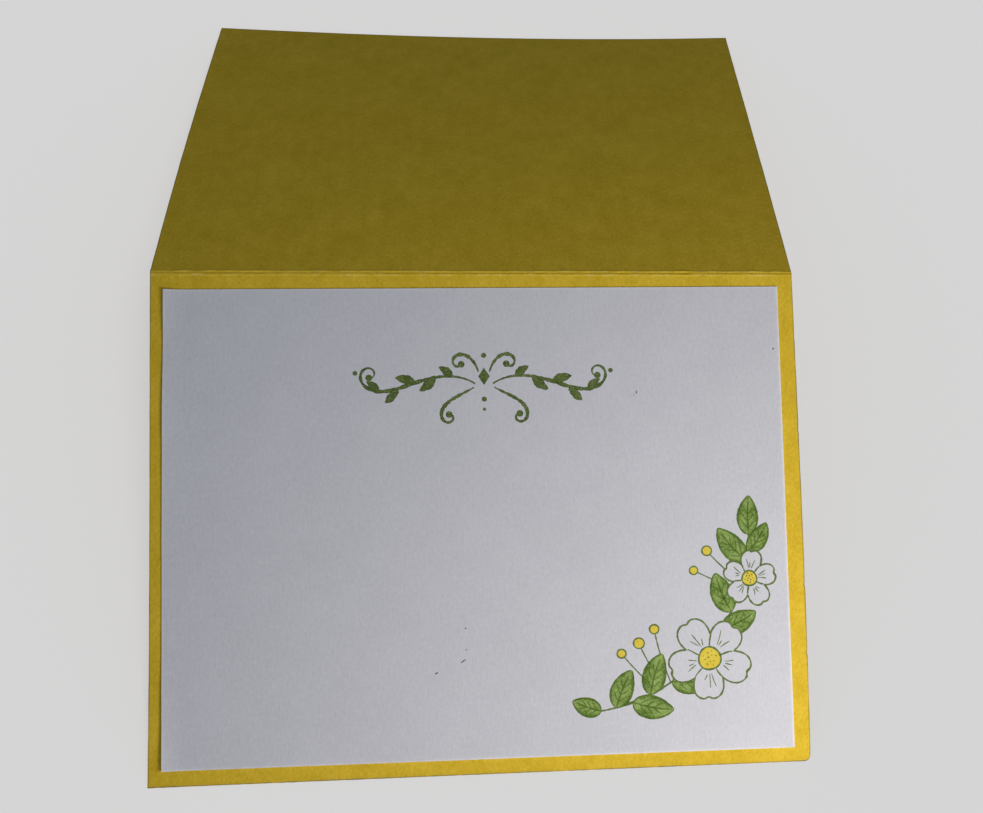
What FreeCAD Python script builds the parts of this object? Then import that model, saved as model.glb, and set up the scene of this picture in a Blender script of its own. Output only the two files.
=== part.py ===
"""Opened greeting card: a folded card sheet with a white panel glued inside, lying as a low tent.

Millimetres. X runs along the fold, Z is up. The card stands on the free edges of its two halves,
with the fold as its ridge and its inner faces up. The origin is midway between the two free edges,
on the surface that the card stands on.
"""

import FreeCAD, Part
import math
import os
import Sketcher

# Driving dimensions: alias, value, what it is
SIZES = [
    ("card_width", 139.7, "length of the fold"),
    ("panel_height", 107.95, "each half of the card, from the fold's middle to its free edge"),
    ("sheet_thickness", 0.30, "thickness of the folded sheet"),
    ("fold_lean", 36.6, "degrees that the fold is bent past flat"),
    ("flap_curl", 6.1, "degrees that the flap bends on, from the fold to its free edge"),
    ("bend_radius", 0.35, "radius on the inside of the bend, under the fold"),
    ("lip_spacing", 0.68, "distance between the two lips that run along the score"),
    ("lip_radius", 0.20, "radius of each lip"),
    ("lip_rise", 0.06, "height of each lip above the sheet"),
    ("score_radius", 0.20, "radius of the scored groove between the lips"),
    ("score_depth", 0.10, "depth of the scored groove"),
    ("mat_thickness", 0.28, "thickness of the glued panel"),
    ("left_margin", 2.7, "card left bare at the panel's left"),
    ("right_margin", 3.6, "card left bare at the panel's right"),
    ("fold_margin", 3.5, "card left bare between the fold's middle and the panel"),
    ("edge_margin", 3.2, "card left bare between the panel and the free edge"),
]

# Lengths and angles in the expressions below
HALF_LEAN = "(sizes.fold_lean / 2 * 1 deg)"
HALF_LEAN_ARC = "(sizes.fold_lean / 2 * pi / 180)"
CURL_ARC = "(sizes.flap_curl * pi / 180)"

ORIGIN = (-1, 1)
LEVEL = -1
START = 1
END = 2
CENTRE = 3


def make_sizes(doc):
    """The spreadsheet of driving dimensions, one row for each."""
    sheet = doc.addObject("Spreadsheet::Sheet", "sizes")
    for row, (alias, value, meaning) in enumerate(SIZES, start=1):
        sheet.set(f"A{row}", alias)
        sheet.set(f"B{row}", str(value))
        sheet.set(f"C{row}", meaning)
        sheet.setAlias(f"B{row}", alias)
    doc.recompute()
    return sheet


def add_sketch(body, name, plane):
    """An empty sketch on one of the body's own origin planes."""
    sketch = body.newObject("Sketcher::SketchObject", name)
    support = next(item for item in body.Origin.OriginFeatures if item.Role == plane)
    sketch.AttachmentSupport = [(support, "")]
    sketch.MapMode = "FlatFace"
    return sketch


def dimension(sketch, name, constraint, expression):
    """Adds a named constraint whose value comes from an expression."""
    index = sketch.addConstraint(constraint)
    sketch.renameConstraint(index, name)
    sketch.setExpression(f"Constraints.{name}", expression)


def reading(sketch, name, constraint):
    """Adds a named reference constraint, which only measures the solved sketch."""
    index = sketch.addConstraint(constraint)
    sketch.setDriving(index, False)
    sketch.renameConstraint(index, name)


def rest_tilt(sizes):
    """The slope of the lower half, in radians, at which both free edges stand on one level.

    The flap's chord leaves the fold at the lean plus half the curl, and is shorter than its arc.
    """
    half_curl = math.radians(sizes.flap_curl) / 2
    turn = math.radians(sizes.fold_lean) + half_curl
    chord = math.sin(half_curl) / half_curl
    return math.atan2(chord * math.sin(turn), 1 + chord * math.cos(turn))


def polar(centre, radius, angle):
    """The point at a radius and an angle from a centre, in the sketch's plane."""
    return centre + FreeCAD.Vector(radius * math.cos(angle), radius * math.sin(angle), 0)


def arc(centre, radius, first, last):
    """An arc of a circle, anticlockwise from the first angle to the last."""
    circle = Part.Circle(centre, FreeCAD.Vector(0, 0, 1), radius)
    return Part.ArcOfCircle(circle, first, last)


def draw_section(sketch, sizes):
    """The sheet's section across the fold: straight lower half, bend, and gently curling flap."""
    thick = sizes.sheet_thickness
    bend = sizes.bend_radius
    lean = math.radians(sizes.fold_lean)
    curl = math.radians(sizes.flap_curl)
    tilt = rest_tilt(sizes)
    straight = sizes.panel_height - (bend + thick / 2) * lean / 2
    curve = straight / curl - thick / 2
    lower_angle = math.pi / 2 + tilt
    flap_angle = lower_angle - lean
    end_angle = flap_angle - curl

    bend_centre = FreeCAD.Vector(0, straight * math.sin(tilt), 0)
    curl_centre = polar(bend_centre, bend - curve, flap_angle)
    run = polar(FreeCAD.Vector(), -straight, tilt)
    lower_under = polar(bend_centre, bend, lower_angle)
    lower_top = polar(bend_centre, bend + thick, lower_angle)
    end_under = polar(curl_centre, curve, end_angle)
    end_top = polar(curl_centre, curve + thick, end_angle)

    (line_under, bend_under, flap_under, flap_end, flap_top, bend_top, line_top, line_end) = range(8)
    sketch.addGeometry([
        Part.LineSegment(lower_under + run, lower_under),
        arc(bend_centre, bend, flap_angle, lower_angle),
        arc(curl_centre, curve, end_angle, flap_angle),
        Part.LineSegment(end_under, end_top),
        arc(curl_centre, curve + thick, end_angle, flap_angle),
        arc(bend_centre, bend + thick, flap_angle, lower_angle),
        Part.LineSegment(lower_top, lower_top + run),
        Part.LineSegment(lower_top + run, lower_under + run),
    ], False)

    # The outline closes, and runs smoothly through the bend into the flap
    sketch.addConstraint([
        Sketcher.Constraint("Tangent", line_under, END, bend_under, END),
        Sketcher.Constraint("Tangent", bend_under, START, flap_under, END),
        Sketcher.Constraint("Coincident", flap_under, START, flap_end, START),
        Sketcher.Constraint("Coincident", flap_end, END, flap_top, START),
        Sketcher.Constraint("Tangent", flap_top, END, bend_top, START),
        Sketcher.Constraint("Tangent", bend_top, END, line_top, START),
        Sketcher.Constraint("Coincident", line_top, END, line_end, START),
        Sketcher.Constraint("Coincident", line_end, END, line_under, START),
        Sketcher.Constraint("Coincident", bend_under, CENTRE, bend_top, CENTRE),
        Sketcher.Constraint("Coincident", flap_under, CENTRE, flap_top, CENTRE),
        Sketcher.Constraint("PointOnObject", flap_under, CENTRE, flap_end),
        Sketcher.Constraint("Perpendicular", line_end, line_under),
        Sketcher.Constraint("Parallel", line_top, line_under),
    ])

    # Both free edges stand on one level, with the origin midway between them
    sketch.addConstraint([
        Sketcher.Constraint("Symmetric", line_under, START, flap_under, START, *ORIGIN),
        Sketcher.Constraint("PointOnObject", line_under, START, LEVEL),
    ])

    straight_from = f"(sizes.panel_height - (sizes.bend_radius + sizes.sheet_thickness / 2) * {HALF_LEAN_ARC})"
    dimension(sketch, "thickness", Sketcher.Constraint("Distance", line_end, thick),
              "sizes.sheet_thickness")
    dimension(sketch, "bend", Sketcher.Constraint("Radius", bend_under, bend), "sizes.bend_radius")
    dimension(sketch, "lean", Sketcher.Constraint("Angle", bend_under, lean), "sizes.fold_lean")
    dimension(sketch, "curl", Sketcher.Constraint("Angle", flap_under, curl), "sizes.flap_curl")
    dimension(sketch, "lower_half", Sketcher.Constraint("Distance", line_under, straight), straight_from)
    dimension(sketch, "flap_curve", Sketcher.Constraint("Radius", flap_under, curve),
              f"{straight_from} / {CURL_ARC} - sizes.sheet_thickness / 2")

    reading(sketch, "tilt", Sketcher.Constraint("Angle", line_under, tilt))
    reading(sketch, "bend_across", Sketcher.Constraint("DistanceX", *ORIGIN, bend_under, CENTRE, 0))
    reading(sketch, "bend_up", Sketcher.Constraint("DistanceY", *ORIGIN, bend_under, CENTRE, 0))
    reading(sketch, "seat_across", Sketcher.Constraint("DistanceX", line_top, END, *ORIGIN, 0))
    reading(sketch, "seat_up", Sketcher.Constraint("DistanceY", *ORIGIN, line_top, END, 0))


def draw_circle(sketch, name, radius, radius_from, across, up):
    """A circle whose radius and centre come from expressions; it starts above the origin."""
    start = FreeCAD.Vector(0, radius, 0)
    index = sketch.addGeometry(Part.Circle(start, FreeCAD.Vector(0, 0, 1), radius), False)
    dimension(sketch, f"{name}_radius", Sketcher.Constraint("Radius", index, radius), radius_from)
    dimension(sketch, f"{name}_across", Sketcher.Constraint("DistanceX", *ORIGIN, index, CENTRE, 0), across)
    dimension(sketch, f"{name}_up", Sketcher.Constraint("DistanceY", *ORIGIN, index, CENTRE, radius), up)


def extrude(body, kind, name, sketch):
    """A pad or a pocket as wide as the card, half of it on each side of the sketch."""
    feature = body.newObject(kind, name)
    feature.Profile = sketch
    feature.SideType = "Symmetric"
    feature.setExpression("Length", "sizes.card_width")
    body.Tip = feature
    return feature


def make_card_base(doc, sizes):
    """The folded sheet, with a scored groove between two raised lips along its fold."""
    body = doc.addObject("PartDesign::Body", "card_base")
    body.Label = "card_base"
    section = add_sketch(body, "section", "YZ_Plane")
    draw_section(section, sizes)
    extrude(body, "PartDesign::Pad", "sheet", section)
    doc.recompute()

    # The lips lie on the two halves, each side of the bend
    lips = add_sketch(body, "lips", "YZ_Plane")
    depth = "(sizes.bend_radius + sizes.sheet_thickness + sizes.lip_rise - sizes.lip_radius)"
    along = f"(sizes.lip_spacing / 2 - (sizes.bend_radius + sizes.sheet_thickness) * {HALF_LEAN_ARC})"
    slope = "section.Constraints.tilt"
    fall = "(sizes.fold_lean * 1 deg - section.Constraints.tilt)"
    draw_circle(lips, "lower", sizes.lip_radius, "sizes.lip_radius",
                f"section.Constraints.bend_across - {depth} * 1 mm * sin({slope}) - {along} * 1 mm * cos({slope})",
                f"section.Constraints.bend_up + {depth} * 1 mm * cos({slope}) - {along} * 1 mm * sin({slope})")
    draw_circle(lips, "upper", sizes.lip_radius, "sizes.lip_radius",
                f"section.Constraints.bend_across + {depth} * 1 mm * sin({fall}) + {along} * 1 mm * cos({fall})",
                f"section.Constraints.bend_up + {depth} * 1 mm * cos({fall}) - {along} * 1 mm * sin({fall})")
    extrude(body, "PartDesign::Pad", "fold_lips", lips)
    doc.recompute()
    uncut = body.Shape.Volume

    # The groove lies on the line that halves the bend
    score = add_sketch(body, "score", "YZ_Plane")
    height = "(sizes.bend_radius + sizes.sheet_thickness + sizes.score_radius - sizes.score_depth)"
    halving = f"(section.Constraints.tilt - {HALF_LEAN})"
    draw_circle(score, "groove", sizes.score_radius, "sizes.score_radius",
                f"section.Constraints.bend_across - {height} * 1 mm * sin({halving})",
                f"section.Constraints.bend_up + {height} * 1 mm * cos({halving})")
    extrude(body, "PartDesign::Pocket", "fold_score", score)
    doc.recompute()
    if body.Shape.Volume >= uncut:
        raise RuntimeError("the scored groove cuts nothing")
    return body


def make_inside_mat(doc, sizes):
    """The white panel, drawn flat from the corner of the lower half and then laid on its slope."""
    body = doc.addObject("PartDesign::Body", "inside_mat")
    body.Label = "inside_mat"
    outline = add_sketch(body, "outline", "XY_Plane")
    half = sizes.card_width / 2
    left = sizes.left_margin - half
    right = half - sizes.right_margin
    near = sizes.edge_margin
    far = sizes.panel_height - sizes.fold_margin
    corners = [
        FreeCAD.Vector(left, near, 0),
        FreeCAD.Vector(right, near, 0),
        FreeCAD.Vector(right, far, 0),
        FreeCAD.Vector(left, far, 0),
    ]
    for index, corner in enumerate(corners):
        outline.addGeometry(Part.LineSegment(corner, corners[(index + 1) % len(corners)]), False)
    for index in range(len(corners)):
        outline.addConstraint(Sketcher.Constraint("Coincident", index, END, (index + 1) % len(corners), START))
    for index, direction in enumerate(("Horizontal", "Vertical", "Horizontal", "Vertical")):
        outline.addConstraint(Sketcher.Constraint(direction, index))
    near_edge, right_edge, far_edge = 0, 1, 2
    dimension(outline, "left", Sketcher.Constraint("DistanceX", near_edge, START, *ORIGIN, -left),
              "sizes.card_width / 2 - sizes.left_margin")
    dimension(outline, "right", Sketcher.Constraint("DistanceX", *ORIGIN, right_edge, START, right),
              "sizes.card_width / 2 - sizes.right_margin")
    dimension(outline, "near", Sketcher.Constraint("DistanceY", *ORIGIN, near_edge, START, near),
              "sizes.edge_margin")
    dimension(outline, "far", Sketcher.Constraint("DistanceY", *ORIGIN, far_edge, START, far),
              "sizes.panel_height - sizes.fold_margin")
    pad = body.newObject("PartDesign::Pad", "panel")
    pad.Profile = outline
    pad.setExpression("Length", "sizes.mat_thickness")
    body.Tip = pad

    # The panel lies face to face on the lower half, whose top corner at the free edge is its seat
    body.setExpression(".Placement.Rotation.Angle", "section.Constraints.tilt")
    body.Placement = FreeCAD.Placement(
        FreeCAD.Vector(), FreeCAD.Rotation(FreeCAD.Vector(1, 0, 0), math.degrees(rest_tilt(sizes))))
    body.setExpression(".Placement.Base.y", "-section.Constraints.seat_across")
    body.setExpression(".Placement.Base.z", "section.Constraints.seat_up")
    doc.recompute()
    return body


def check(doc, bodies):
    """Stops unless every object is sound, every sketch is fixed and every body is one valid solid."""
    for item in doc.Objects:
        if "Invalid" in item.State or "Error" in item.State:
            raise RuntimeError(f"{item.Label} has failed: {item.State}")
        if item.TypeId == "Sketcher::SketchObject" and not item.FullyConstrained:
            raise RuntimeError(f"{item.Label} isn't fully constrained")
    for body in bodies:
        if body.Shape.isNull() or not body.Shape.isValid():
            raise RuntimeError(f"{body.Label} has no valid shape")
        if len(body.Shape.Solids) != 1:
            raise RuntimeError(f"{body.Label} has {len(body.Shape.Solids)} solids")


def main():
    doc = FreeCAD.newDocument("greeting_card")
    sizes = make_sizes(doc)
    bodies = [make_card_base(doc, sizes), make_inside_mat(doc, sizes)]
    doc.recompute()
    check(doc, bodies)
    os.makedirs("parts", exist_ok=True)
    for body in bodies:
        body.Shape.exportStep(f"parts/{body.Label}.step")
        box = body.Shape.BoundBox
        print(body.Label, round(body.Shape.Volume, 3), "mm3",
              [round(v, 4) for v in (box.XMin, box.YMin, box.ZMin, box.XMax, box.YMax, box.ZMax)])


main()
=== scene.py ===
"""Looks of an opened greeting card: a yellow card sheet with one fold and a white printed panel glued inside.

The card lies as a low tent on its two free edges, its inner faces up. Every shape is worked out in
millimetres at flat places on the paper, across from the card's middle and up from its fold, and is laid on the
folded sheet by CardSheet. Only the finished points become metres.
"""

import logging
import math
from dataclasses import dataclass, field
from enum import Enum
from typing import Any, Callable, Sequence

import bpy
import numpy as np
from numpy.typing import NDArray
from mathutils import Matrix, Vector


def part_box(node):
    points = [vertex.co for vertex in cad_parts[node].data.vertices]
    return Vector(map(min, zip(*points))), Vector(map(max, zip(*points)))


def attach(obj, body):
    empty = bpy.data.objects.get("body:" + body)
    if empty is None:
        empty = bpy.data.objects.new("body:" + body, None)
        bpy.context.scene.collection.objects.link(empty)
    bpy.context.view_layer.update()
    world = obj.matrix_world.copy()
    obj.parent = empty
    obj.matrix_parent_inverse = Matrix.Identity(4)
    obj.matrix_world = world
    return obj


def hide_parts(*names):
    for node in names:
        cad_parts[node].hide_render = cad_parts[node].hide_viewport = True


Array = NDArray[np.float64]
Colour = tuple[float, float, float]

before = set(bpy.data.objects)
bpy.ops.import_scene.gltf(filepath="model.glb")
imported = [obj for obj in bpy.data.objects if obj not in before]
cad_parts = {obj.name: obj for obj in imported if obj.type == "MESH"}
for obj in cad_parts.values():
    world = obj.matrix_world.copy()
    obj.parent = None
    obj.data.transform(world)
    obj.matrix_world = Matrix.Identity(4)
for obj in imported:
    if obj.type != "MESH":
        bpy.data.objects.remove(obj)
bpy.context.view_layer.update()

MM = 0.001
BODY = "root"
IMAGE_WIDTH = 983
IMAGE_HEIGHT = 813
BACKGROUND = 0.665

log = logging.getLogger("greeting_card")


class Slot(Enum):
    """The record's material slots."""

    YELLOW = "yellow_cardstock"
    WHITE = "white_cardstock"
    INK = "printing_ink"


class Level(Enum):
    """How far above the panel each layer of print lies, counted in films of ink."""

    STEM = 1
    BLADE = 2
    VEIN = 3
    RESERVE = 4
    OUTLINE = 5
    HEART = 6
    DOT = 7


# Shapes at flat places


@dataclass(frozen=True)
class Grain:
    """Smooth seeded noise of a spread of about one, as a sum of plane waves.

    Each wave has a direction and phase drawn at random and a length between two limits, in millimetres.
    """

    seed: int
    shortest: float
    longest: float
    waves: int = 24

    def at(self, across: Array, up: Array) -> Array:
        """The noise at flat places: the waves' sines added up, over the root of half their number.

        Args:
            across: Places across the card.
            up: Places up from the fold, of the same shape.

        Returns:
            The noise, of the same shape.
        """
        draw = np.random.default_rng(self.seed)
        pace = 2 * np.pi / draw.uniform(self.shortest, self.longest, self.waves)
        heading = draw.uniform(0, 2 * np.pi, self.waves)
        phase = draw.uniform(0, 2 * np.pi, self.waves)
        turns = across[..., None] * (pace * np.cos(heading)) + up[..., None] * (pace * np.sin(heading)) + phase
        return np.sin(turns).sum(-1) / math.sqrt(self.waves / 2)


def spread(first: float, last: float, count: int, crowding: Callable[[Array], Array]) -> Array:
    """Places between two limits, packed by a density: even steps of the density's running sum.

    Args:
        first: The lowest place.
        last: The highest place.
        count: How many places.
        crowding: The wished density of lines at given places, to any scale.

    Returns:
        The places in rising order, with both limits among them.
    """
    fine = np.linspace(first, last, 40001)
    density = crowding(fine)
    total = np.concatenate([[0.0], np.cumsum((density[1:] + density[:-1]) / 2)])
    return np.interp(np.linspace(0, total[-1], count), total, fine)


def outline_of(rows: int, columns: int) -> NDArray[np.int64]:
    """Indices of a grid's outer points, anticlockwise as seen from above.

    Args:
        rows: Rows of the grid, upwards.
        columns: Columns of the grid, rightwards.

    Returns:
        The indices, once round.
    """
    index = np.arange(rows * columns).reshape(rows, columns)
    return np.concatenate([index[0], index[1:, -1], index[-1, -2::-1], index[-2:0:-1, 0]])


def grid_faces(index: NDArray[np.int64]) -> NDArray[np.int64]:
    """Four-sided faces between neighbours in a table of indices, seen from the side where it rises anticlockwise."""
    corners = [index[:-1, :-1], index[:-1, 1:], index[1:, 1:], index[1:, :-1]]
    return np.stack(corners, -1).reshape(-1, 4)


@dataclass
class Skin:
    """Closed shapes gathered for one mesh: points in millimetres, faces, and the two marks of each point."""

    points: list[Array] = field(default_factory=list)
    faces: list[NDArray[np.int64]] = field(default_factory=list)
    flats: list[Array] = field(default_factory=list)
    traces: list[Array] = field(default_factory=list)
    count: int = 0

    def add(self, points: Array, faces: NDArray[np.int64], flats: Array, traces: Array) -> None:
        """Adds one closed shape.

        Args:
            points: Its points, in millimetres.
            faces: Its faces, counted from its own first point.
            flats: Flat place of each point.
            traces: Three numbers of each point that its finish reads.
        """
        self.points.append(points)
        self.faces.append(faces + self.count)
        self.flats.append(flats)
        self.traces.append(traces)
        self.count += len(points)

    def piece(self, name: str, slot: Slot, finish: bpy.types.Material, smooth: bool) -> bpy.types.Object:
        """Makes the mesh and its object, which rides on the card's one body.

        Args:
            name: The piece's name.
            slot: Not used; the record's slot that the finish belongs to.
            finish: The material.
            smooth: True for a smoothly shaded surface.

        Returns:
            The object, at the origin.
        """
        mesh = bpy.data.meshes.new(name)
        faces = np.concatenate(self.faces)
        mesh.from_pydata((np.concatenate(self.points) * MM).tolist(), [], faces.tolist())
        mesh.update()
        mesh.polygons.foreach_set("use_smooth", np.full(len(faces), smooth))
        flats = np.concatenate(self.flats)
        flats = np.column_stack([flats, np.zeros(len(flats))])
        for label, marks in (("flat", flats), ("trace", np.concatenate(self.traces))):
            attribute = mesh.attributes.new(label, "FLOAT_VECTOR", "POINT")
            attribute.data.foreach_set("vector", marks.astype(np.float32).ravel())
        mesh.materials.append(finish)
        piece = bpy.data.objects.new(name, mesh)
        bpy.context.scene.collection.objects.link(piece)
        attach(piece, BODY)
        log.info("%s: %d points, %d faces", name, self.count, len(faces))
        return piece


@dataclass(frozen=True)
class CardSheet:
    """The middle of the folded sheet as a surface: it takes flat places on the paper to points in the room.

    Across the fold the sheet runs straight, turns by the lean on a small arc, and then turns by the curl on a
    long arc down the flap. The fold is skewed a little from square, so that the flap stands askew, and the
    flap's free corners spring up. The whole is tilted until both free edges are on the ground.
    """

    width: float
    panel_height: float = 107.95
    thickness: float = 0.30
    lean: float = math.radians(36.6)
    curl: float = math.radians(6.1)
    bend_radius: float = 0.35
    skew: float = math.radians(-0.424)
    spring: tuple[float, float, float, float] = (-0.486, 1.440, 0.178, -0.086)

    @property
    def middle_radius(self) -> float:
        """Radius of the bend at the middle of the sheet."""
        return self.bend_radius + self.thickness / 2

    @property
    def half_bend(self) -> float:
        """Length of paper in half of the bend."""
        return self.middle_radius * self.lean / 2

    @property
    def curl_radius(self) -> float:
        """Radius of the flap's long arc."""
        return (self.panel_height - self.half_bend) / self.curl

    def section(self, past: Array) -> tuple[Array, Array, Array]:
        """The section across the fold, in the lower half's own plane.

        The turn grows over the bend from nothing to the lean, and over the flap by the curl. The place is the
        sum of a straight run and of the two arcs' sines and cosines.

        Args:
            past: Distance past the fold along the paper, negative on the lower half.

        Returns:
            Distance up the lower half's plane, height above it, and the turn from it.
        """
        bent = np.clip((past + self.half_bend) / self.middle_radius, 0, self.lean)
        curled = np.clip((past - self.half_bend) / self.curl_radius, 0, None)
        straight = np.minimum(past + self.half_bend, 0) - self.half_bend
        along = (straight + self.middle_radius * np.sin(bent)
                 + self.curl_radius * (np.sin(self.lean + curled) - math.sin(self.lean)))
        height = (-self.middle_radius * (1 - np.cos(bent))
                  - self.curl_radius * (math.cos(self.lean) - np.cos(self.lean + curled)))
        return along, height, bent + curled

    def feet(self) -> tuple[float, float, float, float]:
        """Undersides of the two free edges in the section: along and height of the lower, then of the flap's."""
        along, height, turn = self.section(np.array([self.panel_height]))
        half = self.thickness / 2
        flap_along = float(along[0] - half * np.sin(turn[0]))
        flap_height = float(height[0] - half * np.cos(turn[0]))
        return -self.panel_height, -half, flap_along, flap_height

    @property
    def tilt(self) -> float:
        """Slope of the lower half at which the line between the two feet is level."""
        low_along, low_height, flap_along, flap_height = self.feet()
        return math.atan2(low_height - flap_height, flap_along - low_along)

    def across_fold(self, across: Array, up: Array) -> tuple[Array, Array]:
        """Distances along and past the skewed fold: the flat places turned by the skew."""
        along = across * math.cos(self.skew) + up * math.sin(self.skew)
        past = up * math.cos(self.skew) - across * math.sin(self.skew)
        return along, past

    def stand(self, across: Array, up: Array, above: Array, lift: float) -> Array:
        """Points at heights above the sheet's middle, with a given extra lift of the flap's free edge.

        The height is added along the section's normal, and so is the flap's spring: a polynomial of the place
        across, times the square of the distance past the fold.

        Args:
            across: Places across the card.
            up: Places up from the fold.
            above: Heights above the middle of the sheet.
            lift: Height that the spring has over its own polynomial.

        Returns:
            Points in the room, in millimetres.
        """
        along, past = self.across_fold(across, up)
        share = across / (self.width / 2)
        spring = lift + sum(size * share ** power for power, size in enumerate(self.spring, start=1))
        above = above + spring * (np.maximum(past, 0) / self.panel_height) ** 2
        run, height, turn = self.section(past)
        run = run + above * np.sin(turn)
        height = height + above * np.cos(turn)
        east = along * math.cos(self.skew) - run * math.sin(self.skew)
        north = along * math.sin(self.skew) + run * math.cos(self.skew)
        low_along, low_height, flap_along, flap_height = self.feet()
        rise, level = math.sin(self.tilt), math.cos(self.tilt)
        middle = ((low_along + flap_along) * level - (low_height + flap_height) * rise) / 2
        ground = low_along * rise + low_height * level
        return np.stack([east, north * level - height * rise - middle, north * rise + height * level - ground], -1)

    def lay(self, across: Array, up: Array, above: Array) -> Array:
        """Points at heights above the sheet's middle, with the flap's lowest edge point on the ground.

        Args:
            across: Places across the card.
            up: Places up from the fold.
            above: Heights above the middle of the sheet.

        Returns:
            Points in the room, in millimetres.
        """
        edge = np.linspace(-self.width / 2, self.width / 2, 201)
        end = np.full_like(edge, self.panel_height)
        sunk = self.stand(edge, end, np.full_like(edge, -self.thickness / 2), 0.0)[:, 2].min()
        lift = -float(sunk) / math.cos(self.lean + self.curl - self.tilt)
        return self.stand(across, up, above, lift)


# Shader nodes


class Wire:
    """An output socket whose sums and products add the Math nodes that work them out."""

    def __init__(self, paint: "Paint", socket: bpy.types.NodeSocket) -> None:
        """Holds a socket of a material under construction."""
        self.paint = paint
        self.socket = socket

    def maths(self, operation: str, *values: Any) -> "Wire":
        """One Math node on the given values, clamped by nothing."""
        return self.paint.node("ShaderNodeMath", {"operation": operation}, dict(enumerate(values)))

    def __add__(self, other: Any) -> "Wire":
        """This value plus another."""
        return self.maths("ADD", self, other)

    def __radd__(self, other: Any) -> "Wire":
        """Another value plus this one."""
        return self.maths("ADD", other, self)

    def __sub__(self, other: Any) -> "Wire":
        """This value less another."""
        return self.maths("SUBTRACT", self, other)

    def __rsub__(self, other: Any) -> "Wire":
        """Another value less this one."""
        return self.maths("SUBTRACT", other, self)

    def __mul__(self, other: Any) -> "Wire":
        """This value times another."""
        return self.maths("MULTIPLY", self, other)

    def __rmul__(self, other: Any) -> "Wire":
        """Another value times this one."""
        return self.maths("MULTIPLY", other, self)

    def __pow__(self, other: Any) -> "Wire":
        """This value to a power."""
        return self.maths("POWER", self, other)

    def larger(self, other: Any) -> "Wire":
        """The larger of this value and another."""
        return self.maths("MAXIMUM", self, other)

    def step(self, low: float, high: float) -> "Wire":
        """Nothing below the low limit, one above the high limit, and a smooth rise between them."""
        settings = {"interpolation_type": "SMOOTHSTEP"}
        return self.paint.node("ShaderNodeMapRange", settings, {"Value": self, "From Min": low, "From Max": high})


class Paint:
    """A material under construction."""

    def __init__(self, tree: bpy.types.NodeTree) -> None:
        """Starts on an empty node tree."""
        self.tree = tree
        tree.nodes.clear()

    @classmethod
    def material(cls, name: str) -> tuple[bpy.types.Material, "Paint"]:
        """A new material and the paint on its tree."""
        made = bpy.data.materials.new(name)
        made.use_nodes = True
        return made, cls(made.node_tree)

    def node(self, kind: str, settings: dict[str, Any], inputs: dict[Any, Any], output: int | str = 0) -> Wire:
        """Adds a node.

        Args:
            kind: The node's type.
            settings: Its own settings, set first.
            inputs: Values or wires of its sockets, by name or number.
            output: The output that is handed back, by name or number.

        Returns:
            That output.
        """
        node = self.tree.nodes.new(kind)
        for key, value in settings.items():
            setattr(node, key, value)
        for key, value in inputs.items():
            if isinstance(value, Wire):
                self.tree.links.new(value.socket, node.inputs[key])
            else:
                node.inputs[key].default_value = value
        return Wire(self, node.outputs[output] if node.outputs else None)

    def mark(self, name: str) -> Wire:
        """A vector that the mesh carries at each of its points."""
        return self.node("ShaderNodeAttribute", {"attribute_name": name}, {}, "Vector")

    def part(self, vector: Wire, axis: int) -> Wire:
        """One number of a vector."""
        return self.node("ShaderNodeSeparateXYZ", {}, {0: vector}, axis)

    def noise(self, place: Wire, per_mm: float, detail: float = 2.0, roughness: float = 0.5) -> Wire:
        """Noise about nothing, from minus a half to plus a half, with a given number of waves to the millimetre."""
        inputs = {"Vector": place, "Scale": per_mm, "Detail": detail, "Roughness": roughness}
        return self.node("ShaderNodeTexNoise", {}, inputs) - 0.5

    def stretched(self, place: Wire, turn: float, scale: tuple[float, float, float]) -> Wire:
        """Places turned by an angle in degrees and then stretched, for grain with a direction."""
        turned = self.node("ShaderNodeMapping", {}, {"Vector": place, "Rotation": (0, 0, math.radians(turn))})
        return self.node("ShaderNodeMapping", {}, {"Vector": turned, "Scale": scale})

    def blend(self, share: Any, first: Any, second: Any) -> Wire:
        """A mix of two colours, the second's share growing with the first value."""
        pair = {0: share}
        for key, value in ((6, first), (7, second)):
            pair[key] = value if isinstance(value, Wire) else (*value, 1.0)
        return self.node("ShaderNodeMix", {"data_type": "RGBA", "clamp_factor": True}, pair, 2)

    def relief(self, height: Wire, depth_mm: float) -> Wire:
        """A bumped normal, for heights of about one and a depth in millimetres."""
        return self.node("ShaderNodeBump", {}, {"Height": height, "Distance": depth_mm * MM, "Strength": 1.0})

    def paper(self, colour: Any, roughness: Any, normal: Any, gloss: float) -> None:
        """Ends the material as plain paper or ink, with a gloss that is the same all over."""
        inputs = {"Base Color": colour, "Roughness": roughness, "Specular IOR Level": gloss}
        if normal is not None:
            inputs["Normal"] = normal
        shader = self.node("ShaderNodeBsdfPrincipled", {}, inputs)
        self.node("ShaderNodeOutputMaterial", {}, {"Surface": shader})

    def seen(self) -> Wire:
        """One for rays that show the background: from the camera, off a gloss or through glass."""
        rays = [self.node("ShaderNodeLightPath", {}, {}, name)
                for name in ("Is Camera Ray", "Is Glossy Ray", "Is Transmission Ray")]
        return rays[0].larger(rays[1]).larger(rays[2])


# Finishes


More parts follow.
